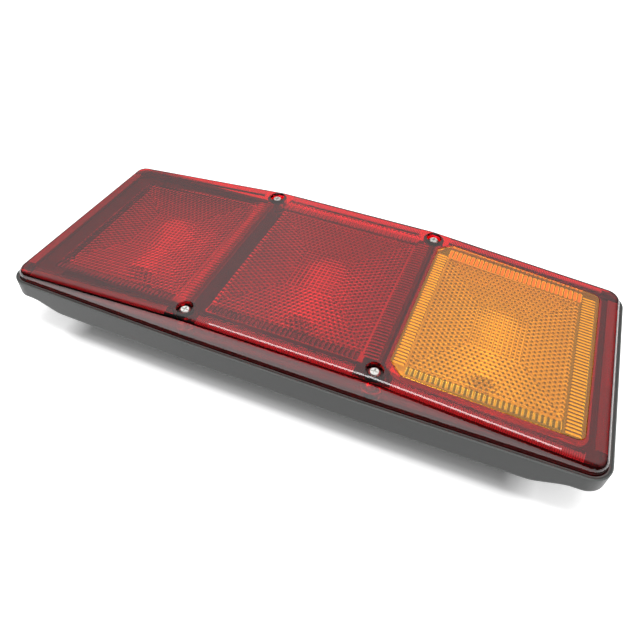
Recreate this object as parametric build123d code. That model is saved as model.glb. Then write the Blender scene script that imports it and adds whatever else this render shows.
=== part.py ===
from build123d import *

import math
import os

# Tail light cluster, lying on its back: X runs along the lamp with the amber lens at +X,
# Y runs across it and Z points out of the lens. The origin is the middle of the back.
# The rim is level all round. The lens face is level between its two bends and falls away
# towards both ends. Face heights are given at the level middle, in millimetres and degrees.

# Outline of the rim
length = 361.6
width = 148.4
end_narrowing = 2.2
bend_x = 54.0
bend_angle = 4.2
bend_round = 60.0
corner_radius = 11.5

# Housing
rim_top = 36.4
rim_wall = 2.2
skirt_height = 16.4
lip_height = 3.0
shelf_thickness = 2.5
end_relief_height = 6.0
end_relief_length = 18.0
end_relief_run = 16.0
end_relief_round = 18.0
pan_side_inset = 11.0
pan_end_inset = 22.8
pan_corner_radius = 9.0
pan_wall = 2.5
pan_draft = 5.0
floor_thickness = 2.5
partition_thickness = 2.4
rib_thickness = 2.0
rib_height = 9.0
rib_spacing = 36.0
ribs_each_side = 7

# Gasket
gasket_thickness = 1.5
gasket_margin = 1.0
gasket_clearance = 0.3

# Red lens
lens_face = 51.8
lens_plate = 3.0
lens_wall = 2.5
lens_draft = 5.0
lens_clearance = 0.35
lens_corner_radius = 9.0
shoulder_radius = 5.0

# Lens screws, their wells and pillars
screw_x = 57.0
screw_edge = 12.8
screw_shank_radius = 1.75
screw_head_radius = 3.1
screw_head_height = 2.3
screw_length = 20.0
screw_crown = 0.75
screw_slot_width = 0.8
screw_slot_length = 4.0
screw_slot_depth = 1.1
screw_sink = 1.8
screw_clearance = 0.35
seal_thickness = 0.8
seal_radius = 4.3
well_radius = 5.0
well_wall = 1.6
pillar_bottom = 40.0
boss_radius = 5.0
boss_bottom = 23.0
pilot_clearance = 0.1
pillar_clearance = 0.6
partition_clearance = 0.8

# Amber lens and its window
amber_gap = 5.4
amber_end_margin = 16.3
amber_side_margin = 15.0
amber_narrowing = 2.4
amber_corner_radius = 4.0
amber_chamfer = 8.0
amber_clearance = 0.4
amber_flange = 2.2
amber_depth = 4.2

# Optics under the lens faces: a shallow pyramid in each chamber, with flutes round it
pyramid_height = 1.3
floor_length = 39.0
floor_width = 35.0
field_side_margin = 26.2
tail_field_outer_margin = 24.5
tail_field_inner_margin = 10.7
stop_field_left_margin = 13.1
stop_field_right_margin = 10.3
turn_field_inner_margin = 8.6
turn_field_outer_margin = 10.6
flute_height = 0.9
flute_pitch = 2.85
flute_length = 6.5
flute_gap = 0.8
optics_root = 0.6

# Reflectors
reflector_seat = 10.0
reflector_wall = 1.5
reflector_base_length = 40.0
reflector_base_width = 62.0
reflector_mouth = 44.5
reflector_side_margin = 19.2
stop_mouth_margin = 9.0
end_mouth_margin = 2.9
chamber_shift = 2.3

# Pedestals under the reflectors
pedestal_wall = 2.5
pedestal_margin = 1.0
pedestal_boss_radius = 4.0

# Bulbs lie across the lamp, base towards -Y
bulb_rise = 14.5
bulb_base_radius = 7.4
bulb_base_length = 17.0
bulb_base_end = -27.0
bulb_tip_radius = 2.0
bulb_tip_height = 0.6
bulb_pin_radius = 1.0
bulb_pin_reach = 1.5
bulb_pin_place = 7.0
bulb_neck_radius = 6.9
bulb_glass_radius = 12.5
bulb_glass_length = 34.5
bulb_bulge_place = 19.0

# Bulb holders
holder_clearance = 0.35
holder_wall = 0.8
holder_length = 14.0
holder_foot_length = 14.0
holder_foot_width = 24.0
holder_web_width = 12.0
holder_metal = 1.0
slot_clearance = 0.4

# Contacts
insulator_thickness = 2.0
insulator_lip = 1.0
contact_radius = 2.2
contact_stem_radius = 1.2
contact_clearance = 0.3
blade_width = 6.3
blade_thickness = 0.8
blade_length = 11.0
blade_gap = 0.7

# Earth strip and the screws through it
strip_width = 10.0
strip_thickness = 0.8
strip_overhang = 14.0
strip_clearance = 0.3
earth_tab_place = 32.0
earth_tab_length = 9.0
foot_screw_spacing = 14.0
foot_screw_radius = 1.45
foot_screw_head_radius = 2.7
foot_screw_head_height = 1.7
foot_screw_depth = 6.0
foot_screw_clearance = 0.2

# Cable grommet, in a recess of the back
grommet_y = 20.0
grommet_bore_radius = 3.5
grommet_neck_radius = 7.0
grommet_flange_radius = 9.3
grommet_flange = 2.2
grommet_clearance = 0.3
recess_depth = 4.5
recess_radius = 11.0
recess_wall = 2.0

# Threaded mounting inserts, open at the back
insert_end_edge = 42.8
insert_side_edge = 30.2
insert_radius = 4.5
insert_length = 11.0
insert_bore_radius = 3.0
insert_clearance = 0.2
insert_boss_wall = 2.8
insert_boss_top = 2.0

# Places worked out from the sizes above
shelf_top = rim_top - lip_height
lens_bottom = shelf_top + gasket_thickness
lens_under = lens_face - lens_plate
skirt_bottom = rim_top - skirt_height
head_top = lens_face - screw_sink
well_floor = head_top - screw_head_height - seal_thickness
pillar_radius = well_radius + well_wall
amber_start = screw_x + amber_gap
amber_end = length / 2 - amber_end_margin
amber_centre = (amber_start + amber_end) / 2
chamber_pitch = amber_centre - chamber_shift
chambers = {"tail": -chamber_pitch, "stop": 0.0, "turn": chamber_pitch}
stop_mouth_length = 2 * (screw_x - stop_mouth_margin)
end_mouth_length = amber_end - amber_start - 2 * end_mouth_margin
mouth_lengths = {"tail": end_mouth_length, "stop": stop_mouth_length, "turn": end_mouth_length}
reflector_mouth_width = width - 2 * reflector_side_margin
field_width = width - 2 * field_side_margin
tail_field = (tail_field_outer_margin - length / 2, -screw_x - tail_field_inner_margin)
stop_field = (stop_field_left_margin - screw_x, screw_x - stop_field_right_margin)
turn_field = (amber_start + turn_field_inner_margin, amber_end - turn_field_outer_margin)
screw_y = width / 2 - screw_edge
grommet_x = -(screw_x + reflector_base_length / 2) / 2
insert_x = length / 2 - insert_end_edge
insert_y = width / 2 - insert_side_edge
screw_places = [(x, y) for x in (-screw_x, screw_x) for y in (-screw_y, screw_y)]
insert_places = [(x, y) for x in (-insert_x, insert_x) for y in (-insert_y, insert_y)]
reflector_floor = reflector_seat + reflector_wall
bulb_axis = reflector_floor + bulb_rise
holder_inner = bulb_base_radius + holder_clearance
holder_outer = holder_inner + holder_wall
disc_front = bulb_base_end - bulb_tip_height - contact_clearance
disc_back = disc_front - insulator_thickness
holder_back = disc_back - holder_wall
holder_front = holder_back + holder_length
foot_front = holder_front + holder_foot_length
foot_middle = (holder_front + foot_front) / 2
foot_screw_offsets = (-foot_screw_spacing / 2, foot_screw_spacing / 2)
slope = math.tan(math.radians(bend_angle))
reach = 2 * length


def fall(x):
    """How far the bent face has dropped at a place along the lamp."""
    return max(abs(x) - bend_x, 0.0) * slope


def outline(side_inset, end_inset, corner):
    """The lamp's plan, drawn in from the rim: straight in the middle, narrower to the ends."""
    half_length = length / 2 - end_inset
    half_width = width / 2 - side_inset
    narrowing = end_narrowing * (half_length - bend_x) / (length / 2 - bend_x)
    end_half = half_width - narrowing
    quarter = [(half_length, end_half), (bend_x, half_width)]
    far = quarter + [(-x, y) for x, y in reversed(quarter)]
    near = [(x, -y) for x, y in reversed(far)]
    plan = make_face(Polyline(*far, *near, close=True))
    plan = fillet([v for v in plan.vertices() if abs(v.X) > bend_x + 1], corner)
    return fillet([v for v in plan.vertices() if abs(abs(v.X) - bend_x) < 1], bend_round)


def bent_slab(low, high):
    """A full-size layer between two heights that follows the bends of the face."""
    drop = fall(reach)
    top = [(-reach, high - drop), (-bend_x, high), (bend_x, high), (reach, high - drop)]
    bottom = [(x, z - high + low) for x, z in reversed(top)]
    section = Plane.XZ * make_face(Polyline(*top, *bottom, close=True))
    bends = [v for v in section.vertices() if abs(abs(v.X) - bend_x) < 1]
    return extrude(fillet(bends, bend_round), width, both=True)


def layer(plan, low, high):
    """A plan outline filled between two level heights."""
    return extrude(Pos(0, 0, low) * plan, high - low)


def upright(radius, low, high, x=0.0, y=0.0):
    """A vertical cylinder between two heights."""
    return Pos(x, y, (low + high) / 2) * Cylinder(radius, high - low)


def across(radius, start, stop, x, z):
    """A cylinder along Y between two places."""
    return Pos(x, (start + stop) / 2, z) * Rot(90, 0, 0) * Cylinder(radius, stop - start)


def block(x0, x1, y0, y1, z0, z1):
    """A box between two corners."""
    centre = Pos((x0 + x1) / 2, (y0 + y1) / 2, (z0 + z1) / 2)
    return centre * Box(x1 - x0, y1 - y0, z1 - z0)


def on_facet(piece, centre):
    """Turns a piece that was drawn level onto the facet of the lens it belongs to."""
    if abs(centre) < bend_x:
        return piece
    side = math.copysign(1, centre)
    hinge = Axis((side * bend_x, 0, lens_under), (0, 1, 0))
    return piece.rotate(hinge, side * bend_angle)


def pan(inset, low):
    """The drafted body behind the rim, drawn in from its outside and filled from a height."""
    plan = outline(pan_side_inset + inset, pan_end_inset + inset, pan_corner_radius - inset / 2)
    spread = shelf_top * math.tan(math.radians(pan_draft))
    foot = offset(plan, -spread)
    tall = extrude(foot, 2 * shelf_top, taper=-pan_draft)
    return tall - block(-reach, reach, -reach, reach, -reach, low)


def end_reliefs():
    """Cuts that make the skirt shallower at both ends, with a sloping run-out."""
    start = length / 2 - end_relief_length
    run_out = start - end_relief_run
    before = run_out - end_relief_run
    low = skirt_bottom - end_relief_height
    section = [
        (before, low),
        (before, skirt_bottom),
        (run_out, skirt_bottom),
        (start, skirt_bottom + end_relief_height),
        (length, skirt_bottom + end_relief_height),
        (length, low),
    ]
    face = Plane.XZ * make_face(Polyline(*section, close=True))
    bends = [v for v in face.vertices() if run_out - 1 < v.X < start + 1]
    right = extrude(fillet(bends, end_relief_round), width, both=True)
    inner = extrude(outline(rim_wall, rim_wall, corner_radius - rim_wall), 2 * rim_top)
    right -= inner
    return right + right.mirror(Plane.YZ)


def partitions():
    """The two walls between the chambers, on the lines of the lens screws."""
    filled = pan(pan_wall / 2, floor_thickness) & bent_slab(-reach, lens_under - partition_clearance)
    walls = []
    for x in (-screw_x, screw_x):
        half = partition_thickness / 2
        wall = filled & block(x - half, x + half, -width, width, floor_thickness, lens_face)
        slot = strip_width / 2 + strip_clearance
        wall -= block(
            x - half, x + half, foot_middle - slot, foot_middle + slot,
            reflector_seat - strip_thickness - strip_clearance, reflector_seat + strip_clearance,
        )
        walls.append(wall)
    for x, y in screw_places:
        gap = upright(pillar_radius + pillar_clearance, pillar_bottom, lens_face, x, y)
        walls = [wall - gap for wall in walls]
    return walls


def skirt_ribs():
    """Short stiffening ribs between the skirt and the pan, under the shelf."""
    top = shelf_top - shelf_thickness
    ring = layer(outline(rim_wall, rim_wall, corner_radius - rim_wall), top - rib_height, top)
    ring -= pan(0.0, 0.0)
    first = -rib_spacing * (ribs_each_side - 1) / 2
    ribs = []
    for index in range(ribs_each_side):
        x = first + index * rib_spacing
        half = rib_thickness / 2
        ribs.append(ring & block(x - half, x + half, -width, width, 0, rim_top))
    return ribs


def pedestal(x):
    """A walled seat on the floor for one reflector, with bosses for the foot screws."""
    half_length = reflector_base_length / 2 - pedestal_margin
    half_width = reflector_base_width / 2 - pedestal_margin
    seat = block(
        x - half_length, x + half_length, -half_width, half_width, floor_thickness, reflector_seat
    )
    seat -= block(
        x - half_length + pedestal_wall, x + half_length - pedestal_wall,
        pedestal_wall - half_width, half_width - pedestal_wall, floor_thickness, reflector_seat,
    )
    for offset_x in foot_screw_offsets:
        seat += upright(
            pedestal_boss_radius, floor_thickness, reflector_seat, x + offset_x, foot_middle
        )
    groove = strip_width / 2 + strip_clearance
    seat -= block(
        x - length, x + length, foot_middle - groove, foot_middle + groove,
        reflector_seat - strip_thickness, reflector_seat,
    )
    for offset_x in foot_screw_offsets:
        seat -= upright(
            foot_screw_radius + foot_screw_clearance, floor_thickness, reflector_seat,
            x + offset_x, foot_middle,
        )
    return seat


def housing():
    """The black moulding: rim, skirt, shelf, pan, partitions, bosses and seats."""
    rim = layer(outline(0, 0, corner_radius), skirt_bottom, rim_top)
    rim -= layer(
        outline(rim_wall, rim_wall, corner_radius - rim_wall),
        skirt_bottom - skirt_height, rim_top + skirt_height,
    )
    rim -= end_reliefs()
    shelf = layer(outline(0, 0, corner_radius), shelf_top - shelf_thickness, shelf_top)
    body = pan(0.0, 0.0) - block(-reach, reach, -reach, reach, shelf_top, reach)
    shell = rim + shelf + body
    for x, y in screw_places:
        shell += upright(boss_radius, boss_bottom, pillar_bottom, x, y)
    shell -= pan(pan_wall, floor_thickness) - _boss_columns()
    shell += skirt_ribs()
    shell += partitions()
    shell += [pedestal(x) for x in chambers.values()]
    shell += _grommet_recess()
    shell -= upright(recess_radius, 0, recess_depth, grommet_x, grommet_y)
    shell -= upright(
        grommet_neck_radius + grommet_clearance, 0, 2 * recess_depth + floor_thickness,
        grommet_x, grommet_y,
    )
    for x, y in insert_places:
        top = insert_length + insert_boss_top
        shell += upright(insert_radius + insert_boss_wall, 0, top, x, y)
        shell -= upright(insert_radius + insert_clearance, 0, insert_length, x, y)
    pilot_bottom = head_top - screw_head_height - screw_length - seal_thickness
    for x, y in screw_places:
        shell -= upright(
            screw_shank_radius + pilot_clearance, pilot_bottom, pillar_bottom, x, y
        )
    return shell


def _boss_columns():
    """The lens screw bosses, kept where the pan's hollow is cut."""
    columns = [upright(boss_radius, boss_bottom, pillar_bottom, x, y) for x, y in screw_places]
    return Part() + columns


def _grommet_recess():
    """The raised round of floor that the grommet sits in."""
    top = recess_depth + floor_thickness
    return upright(recess_radius + recess_wall, 0, top, grommet_x, grommet_y)


def lens_gasket():
    """The rubber strip that the lens stands on, lying on the shelf."""
    outer = rim_wall + gasket_clearance
    inner = rim_wall + lens_clearance + lens_wall + gasket_margin
    strip = layer(outline(outer, outer, corner_radius - outer), shelf_top, lens_bottom)
    hole = outline(inner, inner, lens_corner_radius - lens_wall)
    return strip - layer(hole, shelf_top - shelf_thickness, rim_top + lip_height)


def lens_body(inset, high):
    """The drafted lens block, drawn in from its outside, up to a height of the bent face."""
    edge = rim_wall + lens_clearance + inset
    plan = Pos(0, 0, lens_bottom) * outline(edge, edge, lens_corner_radius - inset)
    solid = extrude(plan, lens_face - lens_bottom + shoulder_radius, taper=lens_draft)
    if inset:
        solid += extrude(plan, -inset)
    return solid & bent_slab(-reach, high)


def rounded_lens():
    """The solid lens block with its rounded shoulder."""
    solid = lens_body(0.0, lens_face)
    tops = [f for f in solid.faces() if f.normal_at(f.center()).Z > 0.9]
    edges = [e for f in tops for e in f.edges()]
    rim = [e for e in edges if sum(e.is_same(other) for other in edges) == 1]
    return fillet(rim, shoulder_radius)


def amber_plan(grow):
    """The amber insert's outline, with corners cut back beside the screw pillars."""
    near_end = amber_start - grow
    far_end = amber_end + grow
    wide = width / 2 - amber_side_margin + grow
    narrow = wide - amber_narrowing
    corners = [(near_end, -wide), (far_end, -narrow), (far_end, narrow), (near_end, wide)]
    plan = make_face(Polyline(*corners, close=True))
    inner = [v for v in plan.vertices() if v.X < amber_centre]
    plan = chamfer(inner, amber_chamfer)
    outer = [v for v in plan.vertices() if v.X > amber_centre]
    return fillet(outer, amber_corner_radius + grow)


def flute_band(centre, place, run, count, along_x, under):
    """One row of ridges rooted in a lens plate. They run across the row, side by side."""
    start = -count * flute_pitch / 2
    teeth = [(-start, optics_root), (start, optics_root), (start, 0.0)]
    for index in range(count):
        teeth.append((start + (index + 0.5) * flute_pitch, -flute_height))
        teeth.append((start + (index + 1) * flute_pitch, 0.0))
    row = extrude(Plane.XZ * make_face(Polyline(*teeth, close=True)), run / 2, both=True)
    if along_x:
        return Pos(centre, place, under) * row
    return Pos(centre + place, 0, under) * Rot(0, 0, 90) * row


def optics(field, under, sides):
    """The low pyramid of one chamber and the rows of flutes beside it."""
    centre = (field[0] + field[1]) / 2
    field_length = field[1] - field[0]
    base = Pos(centre, 0, under) * Rectangle(field_length, field_width)
    floor = Pos(centre, 0, under - pyramid_height) * Rectangle(floor_length, floor_width)
    pieces = [loft([base, floor]) + extrude(base, optics_root)]
    run = flute_length
    beside_x = field_length / 2 + flute_gap + run / 2
    beside_y = field_width / 2 + flute_gap + run / 2
    many_x = int(field_length / flute_pitch)
    many_y = int(field_width / flute_pitch)
    rows = {
        "far": (beside_y, many_x, True),
        "near": (-beside_y, many_x, True),
        "right": (beside_x, many_y, False),
        "left": (-beside_x, many_y, False),
    }
    for side in sides:
        place, many, along_x = rows[side]
        pieces.append(flute_band(centre, place, run, many, along_x, under))
    return [on_facet(piece, centre) for piece in pieces]


def red_lens():
    """The one-piece red cover with its pillars, wells, optics and amber window."""
    cover = rounded_lens() - lens_body(lens_wall, lens_under)
    for x, y in screw_places:
        cover += upright(pillar_radius, pillar_bottom, lens_under, x, y)
    for x, y in screw_places:
        cover -= upright(well_radius, well_floor, lens_face + lens_plate, x, y)
        cover -= upright(
            screw_shank_radius + screw_clearance, pillar_bottom, well_floor, x, y
        )
    window = Pos(0, 0, lens_under - lens_plate) * amber_plan(amber_clearance)
    cover -= on_facet(extrude(window, 3 * lens_plate), amber_centre)
    cover += optics(tail_field, lens_under, ("right",))
    cover += optics(stop_field, lens_under, ("far", "near", "right"))
    return cover


def amber_lens():
    """The amber insert, set in from behind: a plate in the window and a flange under its edge."""
    under = lens_face - amber_depth
    plate = extrude(Pos(0, 0, under) * amber_plan(0.0), amber_depth)
    plate += extrude(Pos(0, 0, under) * amber_plan(amber_flange), lens_under - under)
    plate = on_facet(plate, amber_centre)
    sides = ("far", "near", "left", "right")
    return plate + optics(turn_field, under, sides)


def lens_screw(x, y):
    """A pan-head screw with a cross recess."""
    seat = head_top - screw_head_height
    profile = make_face(
        Polyline(
            (0, seat - screw_length), (screw_shank_radius, seat - screw_length),
            (screw_shank_radius, seat), (screw_head_radius, seat),
            (screw_head_radius, head_top - screw_crown), (screw_head_radius - screw_crown, head_top),
            (0, head_top), close=True,
        )
    )
    screw = revolve(Plane.XZ * profile, Axis.Z)
    for turn in (0, 90):
        bar = Box(screw_slot_length, screw_slot_width, 2 * screw_slot_depth)
        screw -= Pos(0, 0, head_top) * Rot(0, 0, turn) * bar
    return Pos(x, y, 0) * screw


def lens_screws():
    """The four screws that hold the lens."""
    return Compound([lens_screw(x, y) for x, y in screw_places])


def screw_seals():
    """A rubber ring under each lens screw's head."""
    rings = []
    for x, y in screw_places:
        ring = upright(seal_radius, well_floor, well_floor + seal_thickness, x, y)
        ring -= upright(screw_shank_radius + screw_clearance, well_floor, head_top, x, y)
        rings.append(ring)
    return Compound(rings)


def reflector_dish(x, mouth_length, inset, low):
    """The filled shape of a reflector, which opens upwards from its flat base."""
    climb = lens_face - reflector_seat
    grow = climb / (reflector_mouth - reflector_seat)
    length_high = reflector_base_length + grow * (mouth_length - reflector_base_length)
    width_high = reflector_base_width + grow * (reflector_mouth_width - reflector_base_width)
    base = Pos(x, 0, low) * Rectangle(
        reflector_base_length - 2 * inset, reflector_base_width - 2 * inset
    )
    mouth = Pos(x, 0, low + climb) * Rectangle(length_high - 2 * inset, width_high - 2 * inset)
    return loft([base, mouth])


def reflector(x, mouth_length):
    """A metallised dish with a flat base, open where the lens covers it."""
    dish = reflector_dish(x, mouth_length, 0.0, reflector_seat)
    dish -= reflector_dish(x, mouth_length, reflector_wall, reflector_floor)
    dish = dish & bent_slab(-reach, reflector_mouth)
    for offset_x in foot_screw_offsets:
        dish -= upright(
            foot_screw_radius + foot_screw_clearance, reflector_seat, reflector_floor,
            x + offset_x, foot_middle,
        )
    return dish


def bulb_holder(x):
    """A pressed steel shell for a bayonet base, carried on a foot by a web."""
    shell = across(holder_outer, holder_back, holder_front, x, bulb_axis)
    web = block(
        x - holder_web_width / 2, x + holder_web_width / 2, holder_front - holder_metal, holder_front,
        reflector_floor, bulb_axis - bulb_base_radius,
    )
    foot = block(
        x - holder_foot_width / 2, x + holder_foot_width / 2, holder_front - holder_metal, foot_front,
        reflector_floor, reflector_floor + holder_metal,
    )
    holder = shell + web + foot
    holder -= across(holder_inner, disc_back, holder_front, x, bulb_axis)
    holder -= across(holder_inner - insulator_lip, holder_back, disc_back, x, bulb_axis)
    pin = bulb_base_end + bulb_pin_place
    slot = bulb_pin_radius + slot_clearance
    holder -= block(
        x - 2 * holder_outer, x + 2 * holder_outer, pin - slot, holder_front,
        bulb_axis - slot, bulb_axis + slot,
    )
    for offset_x in foot_screw_offsets:
        holder -= upright(
            foot_screw_radius + foot_screw_clearance, reflector_floor,
            reflector_floor + holder_metal, x + offset_x, foot_middle,
        )
    return holder


def bulb_base(x):
    """The brass bayonet base of a bulb, with its two pins and end contact."""
    base = across(bulb_base_radius, bulb_base_end, bulb_base_end + bulb_base_length, x, bulb_axis)
    base += across(bulb_tip_radius, bulb_base_end - bulb_tip_height, bulb_base_end, x, bulb_axis)
    pins = Pos(x, bulb_base_end + bulb_pin_place, bulb_axis) * Rot(0, 90, 0) * Cylinder(
        bulb_pin_radius, 2 * (bulb_base_radius + bulb_pin_reach)
    )
    return base + pins


def bulb_glass(x):
    """The glass of a bulb, sealed and solid: a neck that swells into a round end."""
    start = bulb_base_end + bulb_base_length
    tip = start + bulb_glass_length
    bulge = start + bulb_bulge_place
    side = Spline(
        (bulb_neck_radius, start), (bulb_glass_radius, bulge), (0, tip),
        tangents=((0, 1), (-1, 0)),
    )
    profile = make_face(side + Polyline((0, tip), (0, start), (bulb_neck_radius, start)))
    return Pos(x, 0, bulb_axis) * revolve(profile, Axis.Y)


def contact_insulator(x):
    """The disc that closes the back of a holder and carries its live contact."""
    disc = across(bulb_base_radius, disc_back, disc_front, x, bulb_axis)
    return disc - across(contact_stem_radius + contact_clearance, disc_back, disc_front, x, bulb_axis)


def live_contact(x):
    """A brass button against the bulb's tip, on a stem that ends in a blade."""
    button = across(contact_radius, disc_front, bulb_base_end - bulb_tip_height, x, bulb_axis)
    blade_front = holder_back - blade_gap
    stem = across(contact_stem_radius, blade_front, disc_front, x, bulb_axis)
    blade = block(
        x - blade_width / 2, x + blade_width / 2, blade_front - blade_thickness, blade_front,
        bulb_axis + blade_width / 2 - blade_length, bulb_axis + blade_width / 2,
    )
    return button + stem + blade


def earth_strip():
    """The brass strip under the three holders, with a blade for the earth lead."""
    half = chamber_pitch + strip_overhang
    low = reflector_seat - strip_thickness
    strip = block(
        -half, half, foot_middle - strip_width / 2, foot_middle + strip_width / 2, low, reflector_seat
    )
    strip += block(
        earth_tab_place - blade_width / 2, earth_tab_place + blade_width / 2,
        foot_middle, foot_middle + strip_width / 2 + earth_tab_length, low, reflector_seat,
    )
    for x in chambers.values():
        for offset_x in foot_screw_offsets:
            strip -= upright(
                foot_screw_radius + foot_screw_clearance, low, reflector_seat, x + offset_x, foot_middle
            )
    return strip


def holder_screws():
    """Two screws through each holder's foot, its reflector and the strip."""
    seat = reflector_floor + holder_metal
    screws = []
    for x in chambers.values():
        for offset_x in foot_screw_offsets:
            screw = upright(
                foot_screw_radius, reflector_seat - foot_screw_depth, seat, x + offset_x, foot_middle
            )
            screw += upright(
                foot_screw_head_radius, seat, seat + foot_screw_head_height, x + offset_x, foot_middle
            )
            screws.append(screw)
    return Compound(screws)


def cable_grommet():
    """The rubber grommet that grips the floor of the recess, bored for the cable."""
    top = recess_depth + floor_thickness
    ring = upright(grommet_neck_radius, recess_depth, top, grommet_x, grommet_y)
    low = recess_depth - grommet_flange
    ring += upright(grommet_flange_radius, low, recess_depth, grommet_x, grommet_y)
    ring += upright(grommet_flange_radius, top, top + grommet_flange, grommet_x, grommet_y)
    return ring - upright(
        grommet_bore_radius, 0, top + 2 * grommet_flange, grommet_x, grommet_y
    )


def mount_inserts():
    """Brass inserts in the back that take the mounting screws."""
    sleeves = []
    for x, y in insert_places:
        sleeve = upright(insert_radius, 0, insert_length, x, y)
        sleeves.append(sleeve - upright(insert_bore_radius, 0, insert_length, x, y))
    return Compound(sleeves)


def pieces():
    """Every piece by its name."""
    made = {
        "housing": housing(),
        "lens_gasket": lens_gasket(),
        "red_lens": red_lens(),
        "amber_lens": amber_lens(),
        "lens_screws": lens_screws(),
        "screw_seals": screw_seals(),
        "earth_strip": earth_strip(),
        "holder_screws": holder_screws(),
        "cable_grommet": cable_grommet(),
        "mount_inserts": mount_inserts(),
    }
    for name, x in chambers.items():
        made[f"{name}_reflector"] = reflector(x, mouth_lengths[name])
        made[f"{name}_bulb_holder"] = bulb_holder(x)
        made[f"{name}_bulb_base"] = bulb_base(x)
        made[f"{name}_bulb_glass"] = bulb_glass(x)
        made[f"{name}_contact_insulator"] = contact_insulator(x)
        made[f"{name}_live_contact"] = live_contact(x)
    return made


if __name__ == "__main__":
    os.makedirs("parts", exist_ok=True)
    for node, shape in pieces().items():
        export_step(shape, f"parts/{node}.step")
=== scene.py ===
import math

import bmesh
import bpy
from bpy.props import FloatProperty, FloatVectorProperty, PointerProperty
from bpy.types import Operator, Panel, PropertyGroup
from mathutils import Matrix, Vector


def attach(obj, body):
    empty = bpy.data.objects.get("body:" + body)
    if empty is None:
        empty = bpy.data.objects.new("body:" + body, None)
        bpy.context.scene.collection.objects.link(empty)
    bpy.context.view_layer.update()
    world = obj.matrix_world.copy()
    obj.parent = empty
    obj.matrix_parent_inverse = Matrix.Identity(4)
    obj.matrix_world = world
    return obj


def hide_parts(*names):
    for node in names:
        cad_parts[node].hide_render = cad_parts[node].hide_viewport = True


bl_info = {
    "name": "Tail light cluster",
    "version": (1, 0, 0),
    "blender": (4, 5, 0),
    "location": "View3D > Sidebar > Tail light",
    "description": "Dresses the lamp's solids: lens optics, finishes and a plain stage",
    "category": "Object",
}

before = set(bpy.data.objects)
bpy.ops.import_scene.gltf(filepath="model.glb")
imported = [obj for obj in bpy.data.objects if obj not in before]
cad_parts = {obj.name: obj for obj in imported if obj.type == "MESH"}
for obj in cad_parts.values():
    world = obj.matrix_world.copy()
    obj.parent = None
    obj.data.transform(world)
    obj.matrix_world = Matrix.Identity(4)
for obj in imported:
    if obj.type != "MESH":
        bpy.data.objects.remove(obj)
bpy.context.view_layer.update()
MM = 0.001
CHAMBERS = ("tail", "stop", "turn")
# Finishes of one lens and their places in its list; crown and deep carry painted shade and bar a
# painted highlight in their colour
PLASTICS = ("plastic", "crown", "edge", "bar", "deep", "pillow")
PLAIN, PAINTED_SHADE, EDGE, PAINTED_LIGHT, PAINTED_DEEP_SHADE, PILLOW = range(6)
# Each chamber's pillow field: its ends along X, the facet it lies under, its half width at
# both ends, and the sides that have a row of flutes: the finish of their crowns and flanks,
# their width as a share of their pitch and the share of the half width that the flank takes
FIELDS = {
    "tail": (
        -156.6 * MM, -67.8 * MM, -1, 48.4 * MM, 51.4 * MM,
        {"near": (PAINTED_SHADE, PAINTED_SHADE, 0.98, 0.6), "right": (PAINTED_LIGHT, PAINTED_SHADE, 0.92, 0.42)},
    ),
    "stop": (
        -45.6 * MM, 46.7 * MM, 0, 51.0 * MM, 51.0 * MM,
        {
            "near": (PAINTED_SHADE, PAINTED_SHADE, 0.98, 0.6), "far": (PAINTED_DEEP_SHADE, PAINTED_DEEP_SHADE, 0.84, 0.3),
            "right": (PAINTED_LIGHT, PAINTED_SHADE, 0.92, 0.42),
        },
    ),
    "turn": (
        71.0 * MM, 153.9 * MM, 1, 48.2 * MM, 46.6 * MM,
        {
            "near": (PAINTED_SHADE, PAINTED_LIGHT, 0.9, 0.16), "far": (PAINTED_DEEP_SHADE, PAINTED_LIGHT, 0.84, 0.3),
            "left": (PAINTED_LIGHT, PAINTED_SHADE, 0.94, 0.42), "right": (PAINTED_LIGHT, PAINTED_SHADE, 0.94, 0.42),
        },
    ),
}
# The sectors of a field: the way that each one's pillows lean and the pattern they stand in
SECTORS = {
    "middle": (0.0, 0.0, "square"), "near": (0.0, -1.0, "rows"), "far": (0.0, 1.0, "rows"),
    "left": (-1.0, 0.0, "columns"), "right": (1.0, 0.0, "columns"),
}
# Steps of a pillow: share of the half width, share of the depth
PILLOW_STEPS = ((0.24, 0.42), (0.3, 0.38))
# Length, gap and run of each row's flutes as shares of the flute length, flute gap and plain run
FLUTES = {
    "near": (1.0, 1.0, 1.0), "far": (1.34, 1.0, 1.06), "left": (1.12, 1.0, 1.0),
    "right": (1.36, 1.4, 1.07),
}
# How far neighbouring sectors lap over each other
SECTOR_LAP = 0.02 * MM
# Runs of border ribs along X and their facet, and the place and half length of the end runs
RIB_RUNS = (
    (-166.0 * MM, -67.0 * MM, -1), (-47.0 * MM, 47.0 * MM, 0), (67.0 * MM, 166.0 * MM, 1),
)
END_RIBS = (173.2 * MM, 58.0 * MM)
# Levels of the room: a way, two places along it and the level at both; the last two hold in
# reflections only, where the near side is dark and the tail end is bright
ROOM_LEVELS = (
    ("Z", 0.1, 0.9, 0.08, 1.0), ("Y", -0.5, -0.1, 0.12, 1.0), ("X", -0.4, -0.22, 1.22, 1.0),
)
# Steps from a place on the floor to its distance from a plan a little inside the lamp's own, which
# sets the floor's painted shadow
FLOOR_SHADOW_STEPS = (
    ("ABSOLUTE", None), ("SUBTRACT", (136.0 * MM, 65.0 * MM, 0.0)), ("MAXIMUM", (0.0, 0.0, 0.0)),
    ("LENGTH", None),
)
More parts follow.
